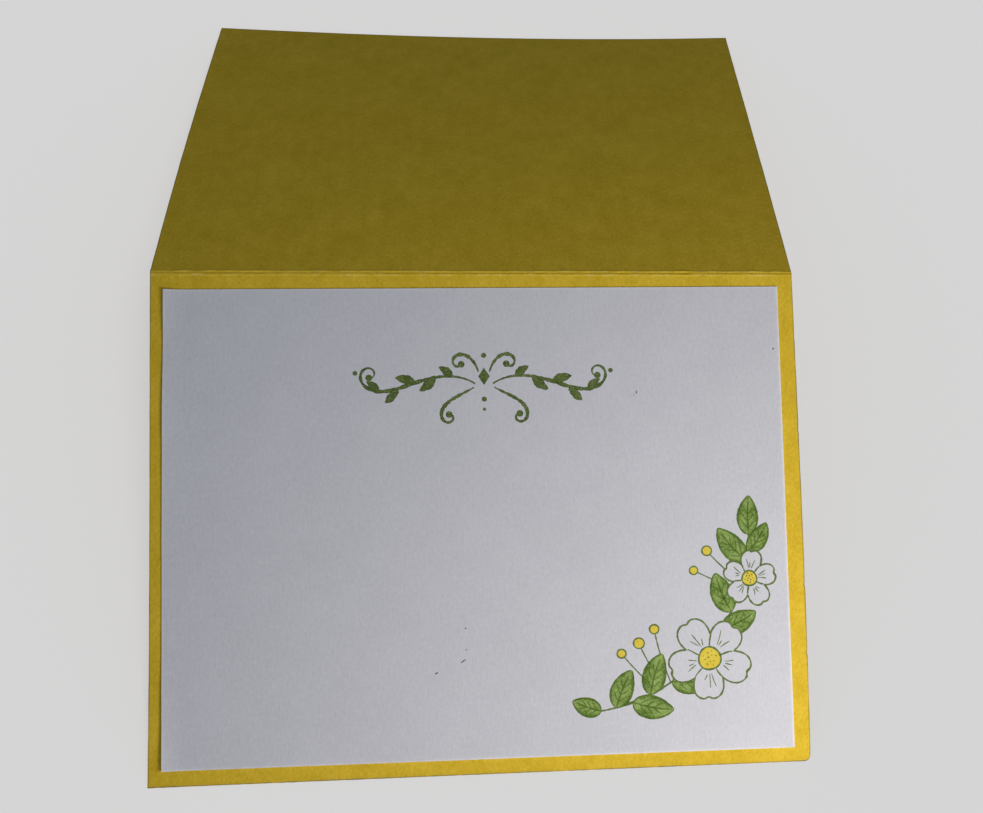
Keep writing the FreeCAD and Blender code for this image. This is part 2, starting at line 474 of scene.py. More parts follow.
@dataclass(frozen=True)
class YellowCard:
    """Solid yellow cardstock: cloudy, mottled by its fibres, paler where the fold is cracked, with painted shade and
    some soil darkening its rims, nicks and worn corner.
    """

    deep: Colour = (0.68, 0.455, 0.020)
    light: Colour = (0.98, 0.680, 0.064)
    cracked: Colour = (0.97, 0.80, 0.26)
    # Dark colour of the painted shade and soil at the rims, nicks and worn corner.
    shade_and_soil: Colour = (0.17, 0.13, 0.06)
    roughness: float = 0.62
    gloss: float = 0.03
    tooth: float = 0.005

    def make(self) -> bpy.types.Material:
        """Builds the material."""
        made, paint = Paint.material("yellow_cardstock")
        place = paint.mark("flat")
        cloud = paint.noise(place, 0.09, 2.0)
        grain = paint.stretched(place, 0.0, (1.0, 0.6, 1.0))
        patch = paint.noise(grain, 0.36, 2.0)
        mottle = paint.noise(grain, 1.8, 3.0, 0.62)
        first = paint.noise(paint.stretched(place, 28.0, (0.55, 3.0, 1.0)), 1.0, 2.0)
        second = paint.noise(paint.stretched(place, -47.0, (0.5, 2.7, 1.0)), 1.0, 2.0)
        fibres = first.larger(second)
        share = 0.40 + 0.6 * cloud + 0.7 * patch + 1.35 * mottle + 0.8 * fibres
        colour = paint.blend(share, self.deep, self.light)
        wear_and_shade = paint.mark("trace")
        colour = paint.blend(paint.part(wear_and_shade, 0), colour, self.cracked)
        # Painted shade with some soil: the outer rims, cut sides, nicks and worn corner are darkened.
        colour = paint.blend(paint.part(wear_and_shade, 1), colour, self.shade_and_soil)
        height = mottle + 0.8 * fibres
        roughness = self.roughness + 0.16 * mottle
        paint.paper(colour, roughness, paint.relief(height, self.tooth), self.gloss)
        return made


@dataclass(frozen=True)
class WhiteCard:
    """Smooth white cardstock, with fine streaks up the sheet from its making, a faint tooth, and a painted highlight on
    its lit cut edges.
    """

    shade: Colour = (0.670, 0.670, 0.700)
    bright: Colour = (0.770, 0.770, 0.800)
    # Colour of the painted highlight on the lit cut edges.
    cut: Colour = (0.93, 0.92, 0.90)
    roughness: float = 0.66
    gloss: float = 0.05
    tooth: float = 0.005

    def make(self) -> bpy.types.Material:
        """Builds the material."""
        made, paint = Paint.material("white_cardstock")
        place = paint.mark("flat")
        cloud = paint.noise(place, 0.06, 2.0)
        streaks = paint.noise(paint.stretched(place, 0.0, (2.2, 0.30, 1.0)), 1.0, 2.0, 0.6)
        patch = paint.noise(place, 0.2, 2.0)
        felt = paint.noise(paint.stretched(place, 0.0, (1.0, 0.65, 1.0)), 1.7, 3.0, 0.6)
        share = 0.5 + 0.5 * cloud + 0.4 * patch + 0.9 * streaks + 1.7 * felt
        colour = paint.blend(share, self.shade, self.bright)
        # Painted highlight: the lit cut edges are paled, most at the right side, which faces the lamp.
        colour = paint.blend(paint.part(paint.mark("trace"), 2), colour, self.cut)
        height = felt + 0.25 * streaks
        paint.paper(colour, self.roughness + 0.1 * felt, paint.relief(height, self.tooth), self.gloss)
        return made


@dataclass(frozen=True)
class StampInk:
    """Water-based stamp ink soaked into the paper: uneven, darker at a blade's margins, with missed specks."""

    name: str
    deep: Colour
    light: Colour
    margin: float = 0.0
    missed: float = 0.0
    paper: Colour = (0.62, 0.66, 0.50)
    roughness: float = 0.66
    gloss: float = 0.10

    def make(self) -> bpy.types.Material:
        """Builds the material."""
        made, paint = Paint.material(self.name)
        place = paint.mark("flat")
        pooled = paint.noise(place, 0.42, 2.0)
        mottle = paint.noise(place, 2.0, 3.0, 0.65)
        side = paint.part(paint.mark("trace"), 1)
        depth = 0.40 + 1.9 * pooled + 1.9 * mottle + self.margin * side.maths("ABSOLUTE", side) ** 4.0
        colour = paint.blend(depth, self.light, self.deep)
        bare = self.missed * paint.noise(place, 2.9, 2.0).step(0.06, 0.22)
        colour = paint.blend(bare, colour, self.paper)
        paint.paper(colour, self.roughness + 0.1 * mottle, paint.relief(mottle, 0.003), self.gloss)
        return made


# The folded sheet and the panel


@dataclass(frozen=True)
class Nick:
    """A small dent in the right cut edge: its place up from the fold, depth and half length."""

    up: float
    depth: float
    reach: float


@dataclass
class FoldedSheet:
    """The yellow sheet: scored fold with two lips, softly rounded cut edges, nicks and a worn corner."""

    sheet: CardSheet
    lip_offsets: tuple[float, float] = (0.36, -0.50)
    lip_widths: tuple[float, float] = (0.16, 0.19)
    lip_rise: float = 0.07
    groove_width: float = 0.15
    groove_depth: float = 0.11
    rim: float = 0.05
    droop: float = 0.14
    droop_reach: float = 4.0
    columns: int = 336
    rows: int = 136
    corner_reach: float = 1.6
    left_cut: tuple[float, ...] = (-0.07, 0.07, -0.07, -0.04, 0.03)
    right_cut: tuple[float, ...] = (-0.10, 0.15, -0.16, -0.26, 0.37)
    # Painted shade with some soil along the outer rims, and the share of it on the cut sides.
    cut_side_shade_and_soil: float = 0.62
    edge_shade_and_soil: float = 0.98
    edge_shade_and_soil_width: float = 0.16
    nicks: tuple[Nick, ...] = (
        Nick(-15.1, 0.17, 0.30),
        Nick(-35.9, 0.13, 0.25),
        Nick(-69.9, 0.20, 0.30),
        Nick(-84.9, 0.15, 0.25),
    )

    def bare_face(self, across: Array, up: Array) -> Array:
        """Height of the sheet's own top face above its middle line, without the fold's lips and groove.

        Half the thickness, plus a crown: the lower half's borders droop to its edges by a rounded step.

        Args:
            across: Places across the card.
            up: Places up from the fold.

        Returns:
            The heights.
        """
        half_width = self.sheet.width / 2
        inward = np.minimum(half_width - np.abs(across), self.sheet.panel_height + up)
        rise = 1 - np.clip(1 - inward / self.droop_reach, 0, 1) ** 2
        leave = np.clip(-up / self.droop_reach, 0, 1)
        crown = self.droop * rise * (1 - (1 - leave) ** 2)
        swell = 0.02 * Grain(11, 14.0, 40.0).at(across, up) * np.clip(inward / 12.0, 0, 1) * leave
        return self.sheet.thickness / 2 + crown + swell

    def lips(self, past: Array) -> list[Array]:
        """Bell curves of one at the lip on the flap's side and of one at the lip on the printed side."""
        return [np.exp(-((past - offset) / width) ** 2) for offset, width in zip(self.lip_offsets, self.lip_widths)]

    def fold_relief(self, across: Array, past: Array) -> Array:
        """Lips and groove beside the fold: bell curves over the distance past it, uneven along it."""
        lip = 1.0 + 0.35 * Grain(21, 1.2, 7.0).at(across, past * 0.2)
        crack = np.clip(Grain(22, 0.7, 3.0).at(across, past * 0.3) - 0.4, 0, None)
        upper, lower = self.lips(past)
        groove = np.exp(-(past / self.groove_width) ** 2)
        depth = 1.0 + 0.25 * Grain(23, 1.5, 9.0).at(across, past * 0.1)
        return self.lip_rise * lip * (upper + lower * (1.0 - 0.55 * crack)) - self.groove_depth * depth * groove

    def wear_and_shade(self, across: Array, up: Array, past: Array) -> Array:
        """Marks at each place: how cracked, how darkened by painted shade and soil, and nothing.

        Cracks pale the lips where seeded noise is high. Painted shade with some soil darkens a narrow band along the
        outer rims, the nicks and the worn corner.
        """
        cracked = sum(self.lips(past)) * np.clip(0.12 + 0.22 * Grain(24, 0.8, 5.0).at(across, past), 0, 0.6)
        half_width = self.sheet.width / 2
        inward = np.minimum(half_width - np.abs(across), self.sheet.panel_height - np.abs(up))
        shade_and_soil = self.edge_shade_and_soil * (1 + 0.2 * Grain(25, 1.5, 12.0).at(across, up)) * np.exp(-(inward / self.edge_shade_and_soil_width) ** 2)
        for nick in self.nicks:
            away = np.hypot((half_width - across) / (2 * nick.depth), (up - nick.up) / nick.reach)
            shade_and_soil = np.maximum(shade_and_soil, np.clip(1.25 - away, 0, 0.8))
        corner = np.hypot(half_width - across, self.sheet.panel_height + up)
        shade_and_soil = np.maximum(shade_and_soil, 0.7 * np.clip(1 - corner / 0.8, 0, 1))
        return np.stack([cracked, shade_and_soil, np.zeros_like(across)], -1)

    def pressed(self, across: Array, up: Array) -> tuple[Array, Array]:
        """Flat places moved to the real cuts: uneven sides, and rounded dents at the nicks and the worn corner.

        A side's shift is the polynomial through its values at five even places along it. It fades away towards
        the sheet's middle as the eighth power of the place across.
        """
        half_width = self.sheet.width / 2
        inward = half_width - across
        share = up / self.sheet.panel_height
        left, right = (np.polyval(np.polyfit(np.linspace(-1, 1, len(cut)), cut, len(cut) - 1), share)
                       for cut in (self.left_cut, self.right_cut))
        shift = -np.where(across < 0, left, right) * (across / half_width) ** 8
        for nick in self.nicks:
            dent = np.exp(-((up - nick.up) / nick.reach) ** 2) * np.clip(1 - inward / (4 * nick.depth), 0, 1)
            shift = shift + nick.depth * dent
        corner = np.clip(1 - np.hypot(inward, self.sheet.panel_height + up) / self.corner_reach, 0, 1) ** 2
        return across - shift - 0.38 * corner, up + 0.38 * corner

    def build(self, finish: bpy.types.Material) -> bpy.types.Object:
        """Builds the sheet as one closed mesh.

        Two grids, the face and the back, run up the sheet with most of their lines at the fold and the cut
        edges. Rings round the rim join them, carried out by the rim's radius.

        Args:
            finish: The yellow cardstock.

        Returns:
            The piece, which stands for the folded sheet.
        """
        sheet = self.sheet
        half_width, height = sheet.width / 2 - self.rim, sheet.panel_height - self.rim
        columns = spread(-half_width, half_width, self.columns, lambda at: 1 + 25 * np.exp(
            -((half_width - np.abs(at)) / 0.12)))
        rows = spread(-height, height, self.rows, self.crowd)
        along, rise = np.meshgrid(columns, rows)
        up = rise + along * math.tan(sheet.skew) * (1 - np.abs(rise) / height)
        _, past = sheet.across_fold(along, up)
        face = self.bare_face(along, up) + self.fold_relief(along, past)
        back = self.bare_face(along, up) - sheet.thickness
        wear_and_shade = self.wear_and_shade(along, up, past)

        across, up = self.pressed(along, up)
        top = sheet.lay(across, up, face).reshape(-1, 3)
        under = sheet.lay(across, up, back).reshape(-1, 3)
        loop = outline_of(self.rows, self.columns)
        sides = np.stack([np.sign(along) * (np.abs(along) >= half_width - 1e-9),
                          np.sign(rise) * (np.abs(rise) >= height - 1e-9)], -1).reshape(-1, 2)[loop]
        flat = np.stack([across, up], -1).reshape(-1, 2)
        fuzz = 1 + 0.25 * Grain(31, 0.8, 3.0).at(flat[loop, 0], flat[loop, 1])
        rings = []
        for outward, down in ((0.7, 0.3), (1.0, 1.0), (1.0, -1.0), (0.7, -0.3)):
            place = flat[loop] + sides * (self.rim * outward * fuzz)[:, None]
            start = face.ravel()[loop] if down > 0 else back.ravel()[loop]
            rings.append(sheet.lay(place[:, 0], place[:, 1], start - down * self.rim))
        points, faces, order = close_slab(top, under, rings, loop, self.rows, self.columns)
        marks = wear_and_shade.reshape(-1, 3)[order]
        # The cut sides take a share of the painted edge shade and soil.
        marks[2 * len(flat):, 1] *= self.cut_side_shade_and_soil
        skin = Skin()
        skin.add(points, faces, flat[order], marks)
        piece = skin.piece("card_sheet", Slot.YELLOW, finish, smooth=True)
        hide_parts("card_base")
        return piece

    def crowd(self, rise: Array) -> Array:
        """Wished density of the rows: dense over the fold, at the free edges and at the nicks."""
        height = self.sheet.panel_height - self.rim
        density = 1 + 90 * np.exp(-(rise / 0.85) ** 4) + 25 * np.exp(-((height - np.abs(rise)) / 0.12))
        density = density + 3 * np.exp(-((height - np.abs(rise)) / 3.0)) + 3 * np.exp(-np.abs(rise) / 3.0)
        for nick in self.nicks:
            density = density + 12 * np.exp(-((rise - nick.up) / (1.5 * nick.reach)) ** 2)
        return density


def close_slab(top: Array, under: Array, rings: Sequence[Array], loop: NDArray[np.int64],
               rows: int, columns: int) -> tuple[Array, NDArray[np.int64], NDArray[np.int64]]:
    """Joins two grids of the same size by rings of points round their outlines.

    Args:
        top: Points of the upper grid, row by row.
        under: Points of the lower grid, row by row.
        rings: Rings of points between the two outlines, from the top downwards.
        loop: Indices of a grid's outline, anticlockwise from above.
        rows: Rows of each grid.
        columns: Columns of each grid.

    Returns:
        All points, all faces, and for each point the index in a grid that it belongs to.
    """
    size = rows * columns
    index = np.arange(size).reshape(rows, columns)
    loops = [loop]
    for number in range(len(rings)):
        loops.append(2 * size + number * len(loop) + np.arange(len(loop)))
    loops.append(loop + size)
    belt = np.stack([np.append(ring, ring[0]) for ring in loops[::-1]])
    faces = np.concatenate([grid_faces(index), grid_faces(index[:, ::-1] + size), grid_faces(belt)])
    order = np.concatenate([np.arange(size), np.arange(size), *[loop] * len(rings)])
    return np.concatenate([top, under, *rings]), faces, order


@dataclass
class WhitePanel:
    """The white panel glued on the lower half, its left edge lifting a little from the card."""

    base: FoldedSheet
    left_margin: float = 2.7
    right_margin: float = 3.6
    fold_margin: float = 3.5
    edge_margin: float = 3.2
    thickness: float = 0.28
    turn: float = math.radians(-0.098)
    off_square: float = 0.0025
    bow: float = 0.24
    lifts: tuple[float, ...] = (0.70, 0.33, 0.07, 0.0, 0.09, 0.12, 0.36, 0.12, 0.62)
    lift_reach: float = 5.0
    rim: float = 0.04
    # Width and shares of the painted highlight on the cut edges: right, left, lower and upper.
    rim_highlight_width: float = 0.33
    rim_highlight_shares: tuple[float, float, float, float] = (1.0, 0.35, 0.65, 0.45)
    columns: int = 200
    rows: int = 150

    @property
    def width(self) -> float:
        """Width of the panel."""
        return self.base.sheet.width - self.left_margin - self.right_margin

    @property
    def height(self) -> float:
        """Height of the panel."""
        return self.base.sheet.panel_height - self.fold_margin - self.edge_margin

    def place(self, right: Array, up: Array) -> tuple[Array, Array]:
        """Flat places on the card of places measured from the panel's middle, along its own edges.

        The left cut bows: its ends are moved in by a parabola that fades away towards the middle. The sides
        lean by a small angle from square, and the whole is turned by another.
        """
        middle_across = (self.left_margin - self.right_margin) / 2
        middle_up = -self.fold_margin - self.height / 2
        side = np.clip(-2 * right / self.width, 0, 1) ** 6
        right = right + self.bow * side * (2 * up / self.height) ** 2 - self.off_square * up
        across = middle_across + right * math.cos(self.turn) - up * math.sin(self.turn)
        return across, middle_up + right * math.sin(self.turn) + up * math.cos(self.turn)

    def left_lift(self, up: Array) -> Array:
        """Lift of the left cut from the card, which the glue holds down in its middle.

        Its values stand at even steps from the lower end to the upper one, and between two of them the lift
        goes over by half a cosine wave.
        """
        steps = np.linspace(-self.fold_margin - self.height, -self.fold_margin, len(self.lifts))
        away = np.clip((up[..., None] - steps) / (steps[1] - steps[0]), -1, 1)
        return (0.5 + 0.5 * np.cos(np.pi * away)) @ np.array(self.lifts)

    def underside(self, across: Array, up: Array) -> Array:
        """Height of the panel's back above the sheet's middle: on the card, or lifted near its left edge.

        The lift falls off inwards as the square of the way left to its reach.
        """
        left = -self.base.sheet.width / 2 + self.left_margin
        near = np.clip(1 - (across - left) / self.lift_reach, 0, 1) ** 2
        return self.base.bare_face(across, up) + self.left_lift(up) * near

    def face(self, across: Array, up: Array) -> Array:
        """Height of the panel's printed face above the sheet's middle."""
        return self.underside(across, up) + self.thickness

    def painted_rim_highlight(self, right: Array, rise: Array) -> Array:
        """Marks of each place of which the third says how much painted highlight the lit cut edge gets there.

        The painted highlight falls off from each side as a bell curve, and is strongest at the right side, which faces
        the lamp.

        Args:
            right: Places from the panel's middle, rightwards.
            rise: Places from the panel's middle, upwards.

        Returns:
            Three marks for each place, the first two nothing.
        """
        shown = np.zeros_like(right)
        for share, inward in zip(self.rim_highlight_shares, (self.width / 2 - right, self.width / 2 + right,
                                                   self.height / 2 + rise, self.height / 2 - rise)):
            shown = np.maximum(shown, share * np.exp(-(inward / self.rim_highlight_width) ** 2))
        uneven = np.clip(1 + 0.25 * Grain(26, 1.0, 8.0).at(right, rise), 0, 1.3)
        return np.stack([np.zeros_like(right), np.zeros_like(right), np.clip(shown * uneven, 0, 1)], -1)

    def build(self, finish: bpy.types.Material) -> bpy.types.Object:
        """Builds the panel as one closed mesh: two grids and the rings round their rim.

        Args:
            finish: The white cardstock.

        Returns:
            The piece, which stands for the glued panel.
        """
        sheet = self.base.sheet
        half_width, half_height = self.width / 2 - self.rim, self.height / 2 - self.rim
        columns = spread(-half_width, half_width, self.columns, lambda at: 1 + 20 * np.exp(
            -((half_width - np.abs(at)) / 0.12)) + 2 * np.exp(-(half_width + at) / 3.0))
        rows = spread(-half_height, half_height, self.rows, lambda at: 1 + 20 * np.exp(
            -((half_height - np.abs(at)) / 0.12)))
        right, rise = np.meshgrid(columns, rows)
        across, up = self.place(right, rise)
        top = sheet.lay(across, up, self.face(across, up)).reshape(-1, 3)
        under = sheet.lay(across, up, self.underside(across, up)).reshape(-1, 3)
        loop = outline_of(self.rows, self.columns)
        sides = np.stack([np.sign(right) * (np.abs(right) >= half_width - 1e-9),
                          np.sign(rise) * (np.abs(rise) >= half_height - 1e-9)], -1).reshape(-1, 2)[loop]
        own = np.stack([right, rise], -1).reshape(-1, 2)
        fuzz = 1 + 0.25 * Grain(32, 0.8, 3.0).at(own[loop, 0], own[loop, 1])
        rings = []
        for outward, down, side in ((0.7, 0.3, self.face), (1.0, 1.0, self.face),
                                    (1.0, -1.0, self.underside), (0.7, -0.3, self.underside)):
            moved = own[loop] + sides * (self.rim * outward * fuzz)[:, None]
            ring_across, ring_up = self.place(moved[:, 0], moved[:, 1])
            rings.append(sheet.lay(ring_across, ring_up, side(ring_across, ring_up) - down * self.rim))
        points, faces, order = close_slab(top, under, rings, loop, self.rows, self.columns)
        flat = np.stack([across, up], -1).reshape(-1, 2)[order]
        skin = Skin()
        skin.add(points, faces, flat, self.painted_rim_highlight(right, rise).reshape(-1, 3)[order])
        piece = skin.piece("white_panel", Slot.WHITE, finish, smooth=True)
        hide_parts("inside_mat")
        return piece


# Print


def walk(start: tuple[float, float], heading: float, turns: Sequence[float], length: float,
         count: int = 60) -> Array:
    """A curved line as a walk of given length whose heading is a polynomial of the share walked.

    Args:
        start: The first place.
        heading: The first heading, in degrees from rightwards.
        turns: Degrees by which the heading changes with the share walked, its square, and so on.
        length: Length of the walk.
        count: How many places.

    Returns:
        The places, one row each.
    """
    share = np.linspace(0, 1, count)
    angle = np.radians(heading + sum(turn * share ** power for power, turn in enumerate(turns, start=1)))
    pace = np.stack([np.cos(angle), np.sin(angle)], -1) * length / (count - 1)
    steps = (pace[1:] + pace[:-1]) / 2
    return np.array(start) + np.concatenate([np.zeros((1, 2)), np.cumsum(steps, 0)])


def rightward(line: Array, closed: bool = False) -> Array:
    """Unit vectors to the right of a line's course, from the difference of each place's neighbours."""
    if closed:
        course = np.roll(line, -1, 0) - np.roll(line, 1, 0)
    else:
        course = np.gradient(line, axis=0)
    course = course / np.linalg.norm(course, axis=1, keepdims=True)
    return np.stack([course[:, 1], -course[:, 0]], -1)


def ribbon(line: Array, half_width: Array, cuts: int = 1, closed: bool = False) -> Array:
    """A strip of places on both sides of a line.

    Args:
        line: The middle of the strip.
        half_width: Half its width at each place.
        cuts: Faces across the strip.
        closed: True if the line meets its own start.

    Returns:
        The strip's places, a row for each place of the line, from its left to its right.
    """
    side = np.linspace(-1, 1, cuts + 1)
    reach = (half_width[:, None] * side)[..., None] * rightward(line, closed)[:, None]
    return line[:, None] + reach


def disc(centre: Array, radius: float, squash: float = 1.0, turn: float = 0.0, cuts: int = 10) -> Array:
    """A round or oval patch: a square grid bent to a circle by the half squares of the other side.

    Args:
        centre: Its middle.
        radius: Its longer radius.
        squash: Its shorter radius over its longer one.
        turn: Degrees from rightwards to its longer radius.
        cuts: Faces along each side.

    Returns:
        The patch's places, in rows and columns.
    """
    right, up = np.meshgrid(np.linspace(-1, 1, cuts + 1), np.linspace(-1, 1, cuts + 1))
    east = right * np.sqrt(1 - up ** 2 / 2) * radius
    north = up * np.sqrt(1 - right ** 2 / 2) * radius * squash
    cos, sin = math.cos(math.radians(turn)), math.sin(math.radians(turn))
    return np.stack([centre[0] + east * cos - north * sin, centre[1] + east * sin + north * cos], -1)


@dataclass
class Print:
    """Films of one ink on the panel's face, gathered into one piece."""

    panel: WhitePanel
    name: str
    clearance: float = 0.012
    film: float = 0.007
    skin: Skin = field(default_factory=Skin)

    def add(self, patch: Array, level: Level, closed: bool = False) -> None:
        """Adds one film: the patch at its level above the face, and again just below it, joined at the edge.

        Args:
            patch: Places in rows along and columns across, which rise anticlockwise.
            level: Which layer of the print it is.
            closed: True if the last row meets the first.
        """
        rows, columns = patch.shape[:2]
        across, up = patch[..., 0], patch[..., 1]
        face = self.panel.face(across, up)
        height = face + self.clearance + level.value * self.film
        top = self.panel.base.sheet.lay(across, up, height).reshape(-1, 3)
        under = self.panel.base.sheet.lay(across, up, face - self.film).reshape(-1, 3)
        size = rows * columns
        index = np.arange(size).reshape(rows, columns)
        flat = patch.reshape(-1, 2)
        share, side = np.meshgrid(np.linspace(0, 1, rows), np.linspace(-1, 1, columns), indexing="ij")
        trace = np.stack([share, side, np.zeros_like(side)], -1).reshape(-1, 3)
        if closed:
            around = np.concatenate([index, index[:1]])
            left = np.stack([around[:, 0] + size, around[:, 0]], -1)
            right = np.stack([around[:, -1], around[:, -1] + size], -1)
            faces = np.concatenate([grid_faces(around), grid_faces(around[:, ::-1] + size),
                                    grid_faces(left), grid_faces(right)])
            points = np.concatenate([top, under])
            order = np.concatenate([np.arange(size), np.arange(size)])
        else:
            loop = outline_of(rows, columns)
            points, faces, order = close_slab(top, under, [], loop, rows, columns)
        self.skin.add(points, faces, flat[order], trace[order])

    def line(self, line: Array, half_width: float, level: Level, ends: float = 0.35, closed: bool = False) -> None:
        """Adds an inked line, a little uneven, that thins towards its ends."""
        share = np.linspace(0, 1, len(line))
        taper = np.ones_like(share) if closed else ends + (1 - ends) * np.sin(np.pi * share) ** 0.4
        uneven = 1 + 0.10 * Grain(41, 0.8, 4.0).at(line[:, 0], line[:, 1])
        uneven = uneven + 0.11 * Grain(42, 0.45, 1.4).at(line[:, 0], line[:, 1])
        self.add(ribbon(line, half_width * taper * uneven, 1, closed), level, closed)

    def build(self, finish: bpy.types.Material) -> bpy.types.Object:
        """Makes the piece.

        Args:
            finish: The ink.

        Returns:
            The piece.
        """
        return self.skin.piece(self.name, Slot.INK, finish, smooth=False)


@dataclass(frozen=True)
class Twig:
    """A curved stalk as a walk, and the leaves on it.

    A leaf is given as its share of the way up the stalk, its lean from the stalk's course in degrees, its
    length, its half width and its own bend in degrees.
    """

    start: tuple[float, float]
    heading: float
    turns: tuple[float, ...]
    length: float
    leaves: tuple[tuple[float, float, float, float, float], ...] = ()

    def line(self, count: int = 160) -> Array:
        """The stalk's middle line."""
        return walk(self.start, self.heading, self.turns, self.length, count)

    def grown(self) -> list["Leaf"]:
        """The stalk's leaves, each rooted on its line."""
        line = self.line()
        made = []
        for share, lean, length, half_width, bend in self.leaves:
            course = self.heading + sum(turn * share ** power for power, turn in enumerate(self.turns, start=1))
            root = line[round(share * (len(line) - 1))]
            made.append(Leaf(tuple(root), course + lean, length, half_width, bend))
        return made


@dataclass(frozen=True)
class Leaf:
    """A pointed oval leaf: the place and heading of its stalk's end, its length, half width and bend."""

    start: tuple[float, float]
    heading: float
    length: float
    half_width: float
    bend: float = 12.0

    def spine(self) -> Array:
        """The leaf's middle line."""
        return walk(self.start, self.heading, (self.bend,), self.length, 41)

    def widths(self, share: Array) -> Array:
        """Half width at shares of the length: a product of powers, fullest before the middle, blunt at the ends."""
        shape = np.maximum(share, 0) ** 0.62 * np.maximum(1 - share, 0) ** 0.85
        return self.half_width * (shape / 0.3745 + 0.02)

    def draw(self, blades: Print, lines: Print, line_half_width: float) -> None:
        """Adds the inked blade, its outline, its midrib and its side veins."""
        spine = self.spine()
        share = np.linspace(0, 1, len(spine))
        widths = self.widths(share)
        blades.add(ribbon(spine, widths, 8), Level.BLADE)
        edges = ribbon(spine, widths, 1)
        lines.line(edges[:, 0], line_half_width, Level.VEIN)
        lines.line(edges[:, 1], line_half_width, Level.VEIN)
        lines.line(spine[: int(0.9 * len(spine))], line_half_width, Level.VEIN, 0.3)
        aside = rightward(spine)
        for root in (0.18, 0.36, 0.54):
            tip = root + 0.2
            begin = spine[int(root * 40)]
            end = spine[int(tip * 40)]
            reach = 0.68 * float(self.widths(np.array([tip]))[0]) * aside[int(tip * 40)]
            for side in (-1, 1):
                run = np.linspace(0, 1, 12)[:, None]
                vein = begin + (end - begin) * run ** 1.4 + side * reach * run
                lines.line(vein, 0.62 * line_half_width, Level.VEIN, 0.2)


@dataclass(frozen=True)
class Blossom:
    """A five-petalled blossom seen from the front, left white inside its outline."""

    centre: tuple[float, float]
    radius: float
    turn: float
    petals: int = 5
    heart: float = 0.27
    seed: int = 51

    def rim(self, angle: Array) -> Array:
        """Distance to the outline: rounded lobes with a deep cleft between petals and a shallow notch in each tip."""
        lobe = np.abs(np.sin(self.petals / 2 * (angle - math.radians(self.turn))))
        cleft = 0.42 * (1 - lobe) ** 1.7
        notch = 0.055 * np.exp(-((1 - lobe) / 0.018) ** 1.0)
        draw = np.random.default_rng(self.seed)
        wobble = sum(0.018 * math.sin(phase) * np.cos(order * angle) + 0.018 * math.cos(phase) * np.sin(order * angle)
                     for order, phase in zip((1, 2, 3), draw.uniform(0, 6.3, 3)))
        return self.radius * (1 - cleft - notch + wobble)

    def at(self, angle: Array, distance: Array) -> Array:
        """Places at angles and distances from the blossom's middle."""
        middle = np.array(self.centre)
        return middle + np.stack([distance * np.cos(angle), distance * np.sin(angle)], -1)

    def draw(self, reserve: Print, lines: Print, hearts: Print, line_half_width: float) -> None:
        """Adds the white ground, the outline, the petals' edges and veins, and the dotted heart."""
        angle = np.linspace(0, 2 * np.pi, 240, endpoint=False)
        rim = self.rim(angle)
        ground = np.stack([self.at(angle, 0.1 * rim), self.at(angle, 0.5 * rim), self.at(angle, rim)], 1)
        reserve.add(ground, Level.RESERVE, closed=True)
        lines.line(self.at(angle, rim), line_half_width, Level.OUTLINE, closed=True)
        heart = self.heart * self.radius
        step = 2 * np.pi / self.petals
        draw = np.random.default_rng(self.seed + 1)
        share = np.linspace(0, 1, 24)
        for petal in range(self.petals):
            cleft = math.radians(self.turn) + petal * step
            inner = heart + (0.58 * self.radius - heart) * share
            lines.line(self.at(cleft + 0.04 * np.sin(3 * share + petal), inner), line_half_width, Level.OUTLINE)
            for side in (-0.2, 0.05, 0.24):
                begin, end = draw.uniform(1.15, 1.5) * heart, draw.uniform(0.52, 0.74) * self.radius
                lean = cleft + step / 2 + side * (0.6 + 0.5 * share)
                lines.line(self.at(lean, begin + (end - begin) * share), 0.6 * line_half_width, Level.OUTLINE, 0.2)
        hearts.add(disc(np.array(self.centre), heart), Level.HEART)
        ring = heart * (1 + 0.03 * np.sin(3 * angle + self.turn))
        lines.line(self.at(angle, ring), line_half_width, Level.DOT, closed=True)
        for number in range(11):
            place = self.at(np.array(2.4 * number + self.turn), np.array(0.72 * heart * math.sqrt((number + 0.5) / 11)))
            lines.add(disc(place, 0.9 * line_half_width * draw.uniform(0.8, 1.5), 0.6, 47.0 * number, 4), Level.DOT)


